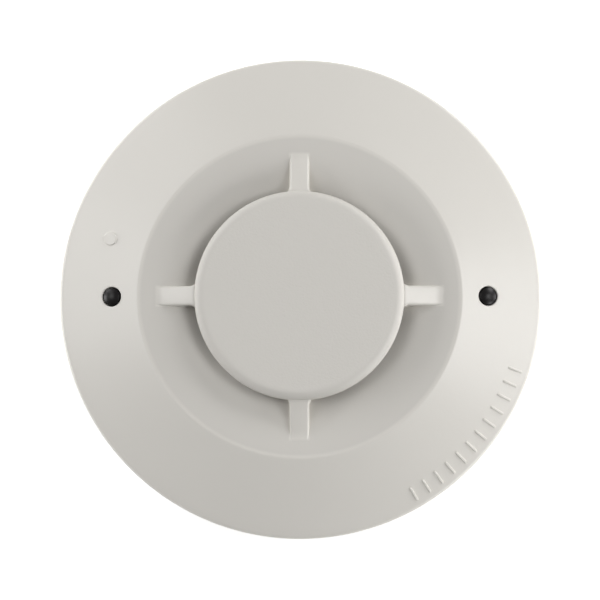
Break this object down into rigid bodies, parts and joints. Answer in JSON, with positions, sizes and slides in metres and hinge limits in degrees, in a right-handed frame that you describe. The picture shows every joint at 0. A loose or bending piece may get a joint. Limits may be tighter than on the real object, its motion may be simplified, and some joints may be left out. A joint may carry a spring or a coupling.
{
  "type": "heat detector",
  "caption": "Round plug-in heat detector: mounting base, twist-lock head and lift-off cover with a ribbed cap over the sensor recess.",
  "frame": {"origin": "centre of the mounting face of the base", "axes": "+Z out of the mounting face through the heat sensor, so it points down once the detector is on a ceiling; +X through one indicator lamp, +Y to the top of the front view"},
  "size_m": [0.104, 0.104, 0.0529],
  "materials": {
    "shell_plastic": "warm white moulded plastic, semi-gloss, with a fine matt texture on the cap",
    "housing_plastic": "warm white moulded plastic, satin",
    "carrier_plastic": "warm white moulded plastic, matt",
    "terminal_brass": "stamped sheet, satin",
    "plated_steel": "zinc plated",
    "board_laminate": "green solder mask over glass laminate",
    "chip_plastic": "matt moulding compound",
    "capacitor_sleeve": "shrink sleeve over an aluminium can",
    "suppressor_coating": "dipped coating",
    "reed_glass": "clear green glass",
    "lamp_lens": "smoked, polished",
    "lamp_body": "red tinted resin, polished",
    "switch_plastic": "matt",
    "dial_plastic": "matt",
    "sensor_epoxy": "dipped epoxy bead",
    "grommet_rubber": "matt"
  },
  "bodies": {
    "base": {"base_shell": "housing_plastic", "contact_strip_1": "terminal_brass", "contact_strip_2": "terminal_brass", "contact_strip_3": "terminal_brass", "contact_strip_4": "terminal_brass"},
    "head": {"rear_housing": "housing_plastic", "blade_contact_1": "terminal_brass", "blade_contact_2": "terminal_brass", "blade_contact_3": "terminal_brass", "blade_contact_4": "terminal_brass", "circuit_board": "board_laminate", "board_screw_1": "plated_steel", "board_screw_2": "plated_steel", "board_screw_3": "plated_steel", "microcontroller": "chip_plastic", "line_driver": "chip_plastic", "bridge_rectifier": "chip_plastic", "resistor_1": "chip_plastic", "resistor_2": "chip_plastic", "resistor_3": "chip_plastic", "capacitor_1": "capacitor_sleeve", "capacitor_2": "capacitor_sleeve", "crystal": "plated_steel", "surge_suppressor": "suppressor_coating", "reed_switch": "reed_glass", "led_left": "lamp_body", "led_right": "lamp_body", "address_switch_tens": "switch_plastic", "address_switch_ones": "switch_plastic", "sensor_carrier": "carrier_plastic", "sensor_grommet": "grommet_rubber", "thermistor": "sensor_epoxy"},
    "cover": {"cover_shell": "shell_plastic", "lamp_lens_left": "lamp_lens", "lamp_lens_right": "lamp_lens"},
    "dial_tens": {"address_dial_tens": "dial_plastic"},
    "dial_ones": {"address_dial_ones": "dial_plastic"},
    "clamp_1": {"clamp_plate_1": "plated_steel"},
    "screw_1": {"terminal_screw_1": "plated_steel"},
    "clamp_2": {"clamp_plate_2": "plated_steel"},
    "screw_2": {"terminal_screw_2": "plated_steel"},
    "clamp_3": {"clamp_plate_3": "plated_steel"},
    "screw_3": {"terminal_screw_3": "plated_steel"},
    "clamp_4": {"clamp_plate_4": "plated_steel"},
    "screw_4": {"terminal_screw_4": "plated_steel"}
  },
  "joints": [
    {"name": "head_twist", "type": "hinge", "parent": "base", "child": "head", "pos_m": [0, 0, 0.0176], "axis": [0, 0, 1], "range_deg": [0, 18]},
    {"name": "cover_lift", "type": "slide", "parent": "head", "child": "cover", "axis": [0, 0, 1], "range_m": [0, 0.04]},
    {"name": "dial_tens_turn", "type": "hinge", "parent": "head", "child": "dial_tens", "pos_m": [-0.0085, 0.012, 0.0146], "axis": [0, 0, 1], "continuous": true},
    {"name": "dial_ones_turn", "type": "hinge", "parent": "head", "child": "dial_ones", "pos_m": [0.0085, 0.012, 0.0146], "axis": [0, 0, 1], "continuous": true},
    {"name": "clamp_1_slide", "type": "slide", "parent": "base", "child": "clamp_1", "axis": [0, 0, 1], "range_m": [0, 0.0012]},
    {"name": "screw_1_turn", "type": "hinge", "parent": "clamp_1", "child": "screw_1", "pos_m": [0.03161, 0.01534, 0.0096], "axis": [0, 0, 1], "range_deg": [0, 720]},
    {"name": "clamp_2_slide", "type": "slide", "parent": "base", "child": "clamp_2", "axis": [0, 0, 1], "range_m": [0, 0.0012]},
    {"name": "screw_2_turn", "type": "hinge", "parent": "clamp_2", "child": "screw_2", "pos_m": [-0.01534, 0.03161, 0.0096], "axis": [0, 0, 1], "range_deg": [0, 720]},
    {"name": "clamp_3_slide", "type": "slide", "parent": "base", "child": "clamp_3", "axis": [0, 0, 1], "range_m": [0, 0.0012]},
    {"name": "screw_3_turn", "type": "hinge", "parent": "clamp_3", "child": "screw_3", "pos_m": [-0.03161, -0.01534, 0.0096], "axis": [0, 0, 1], "range_deg": [0, 720]},
    {"name": "clamp_4_slide", "type": "slide", "parent": "base", "child": "clamp_4", "axis": [0, 0, 1], "range_m": [0, 0.0012]},
    {"name": "screw_4_turn", "type": "hinge", "parent": "clamp_4", "child": "screw_4", "pos_m": [0.01534, -0.03161, 0.0096], "axis": [0, 0, 1], "range_deg": [0, 720]}
  ],
  "couplings": [
    {"joint": "screw_1_turn", "follows": "clamp_1_slide", "rad_per_m": 10472},
    {"joint": "screw_2_turn", "follows": "clamp_2_slide", "rad_per_m": 10472},
    {"joint": "screw_3_turn", "follows": "clamp_3_slide", "rad_per_m": 10472},
    {"joint": "screw_4_turn", "follows": "clamp_4_slide", "rad_per_m": 10472}
  ]
}
